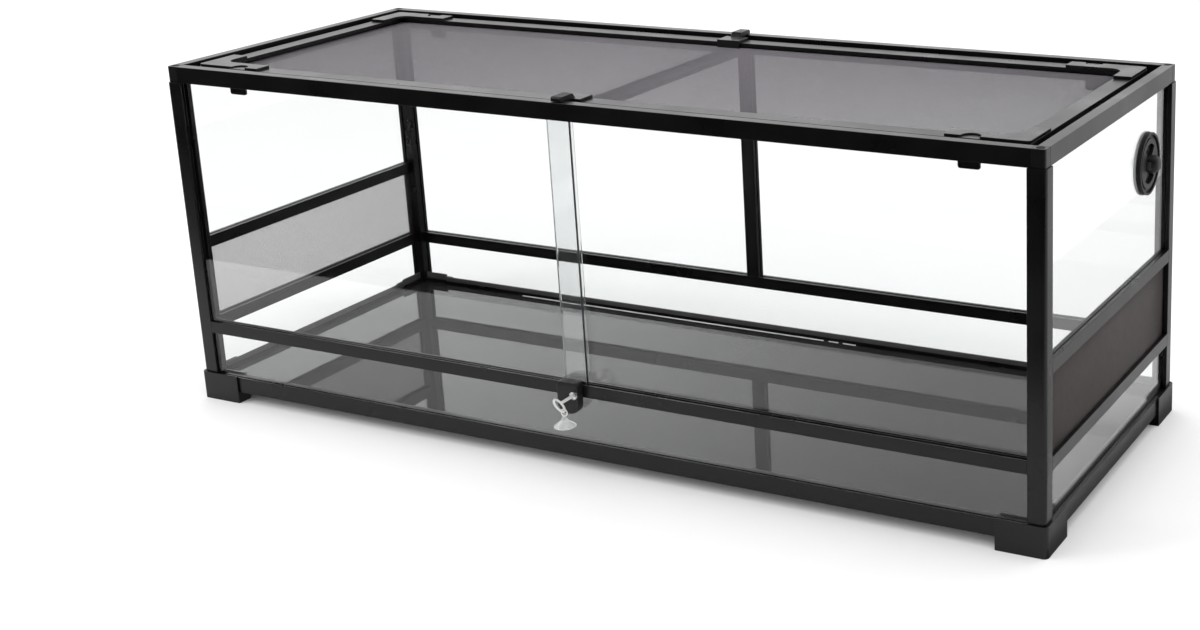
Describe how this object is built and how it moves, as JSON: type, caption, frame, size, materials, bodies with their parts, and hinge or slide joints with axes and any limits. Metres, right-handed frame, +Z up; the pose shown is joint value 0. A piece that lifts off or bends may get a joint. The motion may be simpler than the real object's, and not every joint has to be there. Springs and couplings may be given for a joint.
{
  "type": "reptile terrarium",
  "caption": "Front-opening glass reptile terrarium with sliding doors, key lock, side mesh strips, rotary vent and a lift-off mesh lid held by slide latches.",
  "frame": {"origin": "on the ground under the middle of the whole box, which includes the key in front; the tank itself is centred left to right and sits 28.7 mm behind this point", "axes": "+X to the right seen from the front, +Y to the back, +Z up"},
  "size_m": [1.2279, 0.5146, 0.4635],
  "materials": {
    "frame_metal": "satin black powder coat on aluminium extrusion",
    "frame_plastic": "moulded black plastic",
    "wall_glass": "clear float glass",
    "door_glass": "clear float glass with ground edges",
    "base_glass": "dark-backed float glass",
    "mesh_wire": "black-coated woven wire",
    "lid_metal": "satin black powder coat",
    "lid_plastic": "moulded black plastic",
    "latch_plastic": "moulded black plastic",
    "vent_plastic": "moulded black plastic",
    "lock_plastic": "moulded black plastic",
    "lock_metal": "polished plating",
    "key_steel": "nickel-plated steel",
    "clear_vinyl": "clear soft vinyl"
  },
  "bodies": {
    "tank": {"foot_front_left": "frame_plastic", "foot_front_right": "frame_plastic", "foot_back_left": "frame_plastic", "foot_back_right": "frame_plastic", "post_front_left": "frame_metal", "post_front_right": "frame_metal", "post_back_left": "frame_metal", "post_back_right": "frame_metal", "rail_bottom_front": "frame_metal", "rail_bottom_back": "frame_metal", "rail_bottom_left": "frame_metal", "rail_bottom_right": "frame_metal", "door_rail": "frame_metal", "belt_rail_back": "frame_metal", "belt_rail_left": "frame_metal", "belt_rail_right": "frame_metal", "mesh_rail_left": "frame_metal", "mesh_rail_right": "frame_metal", "mullion_back": "frame_metal", "rail_top_front": "frame_metal", "rail_top_back": "frame_metal", "rail_top_left": "frame_metal", "rail_top_right": "frame_metal", "top_corners": "frame_plastic", "corner_caps": "frame_plastic", "base_pane": "base_glass", "pane_front_lower": "wall_glass", "pane_back_lower": "wall_glass", "pane_left_lower": "wall_glass", "pane_right_lower": "wall_glass", "pane_back_upper_left": "wall_glass", "pane_back_upper_right": "wall_glass", "pane_left_upper": "wall_glass", "pane_right_upper": "wall_glass", "side_mesh_left": "mesh_wire", "side_mesh_right": "mesh_wire", "vent_flange": "vent_plastic", "vent_grille": "vent_plastic", "vent_clamp_ring": "vent_plastic"},
    "door_left": {"door_left": "door_glass", "lock_housing": "lock_plastic"},
    "door_right": {"door_right": "door_glass"},
    "key_set": {"lock_plug": "lock_metal", "lock_cam": "lock_metal", "key": "key_steel"},
    "hanger": {"key_link": "key_steel", "suction_cup": "clear_vinyl"},
    "lid": {"lid_bar_front": "lid_metal", "lid_bar_back": "lid_metal", "lid_bar_left": "lid_metal", "lid_bar_right": "lid_metal", "lid_crossbar": "lid_metal", "lid_mesh": "mesh_wire", "lid_corners": "lid_plastic", "lid_tees": "lid_plastic"},
    "latch_front_left": {"latch_front_left": "latch_plastic"},
    "latch_front_right": {"latch_front_right": "latch_plastic"},
    "latch_back_left": {"latch_back_left": "latch_plastic"},
    "latch_back_right": {"latch_back_right": "latch_plastic"},
    "vent_shutter": {"vent_shutter": "vent_plastic"}
  },
  "joints": [
    {"name": "door_left_slide", "type": "slide", "parent": "tank", "child": "door_left", "axis": [1, 0, 0], "range_m": [0, 0.56]},
    {"name": "door_right_slide", "type": "slide", "parent": "tank", "child": "door_right", "axis": [-1, 0, 0], "range_m": [0, 0.56]},
    {"name": "key_turn", "type": "hinge", "parent": "door_left", "child": "key_set", "pos_m": [0.007, -0.2143, 0.101], "axis": [0, 1, 0], "range_deg": [0, 90]},
    {"name": "link_swing", "type": "hinge", "parent": "key_set", "child": "hanger", "pos_m": [0.01443, -0.2393, 0.09358], "axis": [0, 1, 0], "range_deg": [-100, 45]},
    {"name": "lid_lift", "type": "slide", "parent": "tank", "child": "lid", "axis": [0, 0, 1], "range_m": [0, 0.14]},
    {"name": "latch_front_left_slide", "type": "slide", "parent": "lid", "child": "latch_front_left", "axis": [0, -1, 0], "range_m": [0, 0.0036]},
    {"name": "latch_front_right_slide", "type": "slide", "parent": "lid", "child": "latch_front_right", "axis": [0, -1, 0], "range_m": [0, 0.0036]},
    {"name": "latch_back_left_slide", "type": "slide", "parent": "lid", "child": "latch_back_left", "axis": [0, 1, 0], "range_m": [0, 0.0036]},
    {"name": "latch_back_right_slide", "type": "slide", "parent": "lid", "child": "latch_back_right", "axis": [0, 1, 0], "range_m": [0, 0.0036]},
    {"name": "vent_turn", "type": "hinge", "parent": "tank", "child": "vent_shutter", "pos_m": [0.6011, 0.1537, 0.355], "axis": [1, 0, 0], "range_deg": [0, 90]}
  ]
}
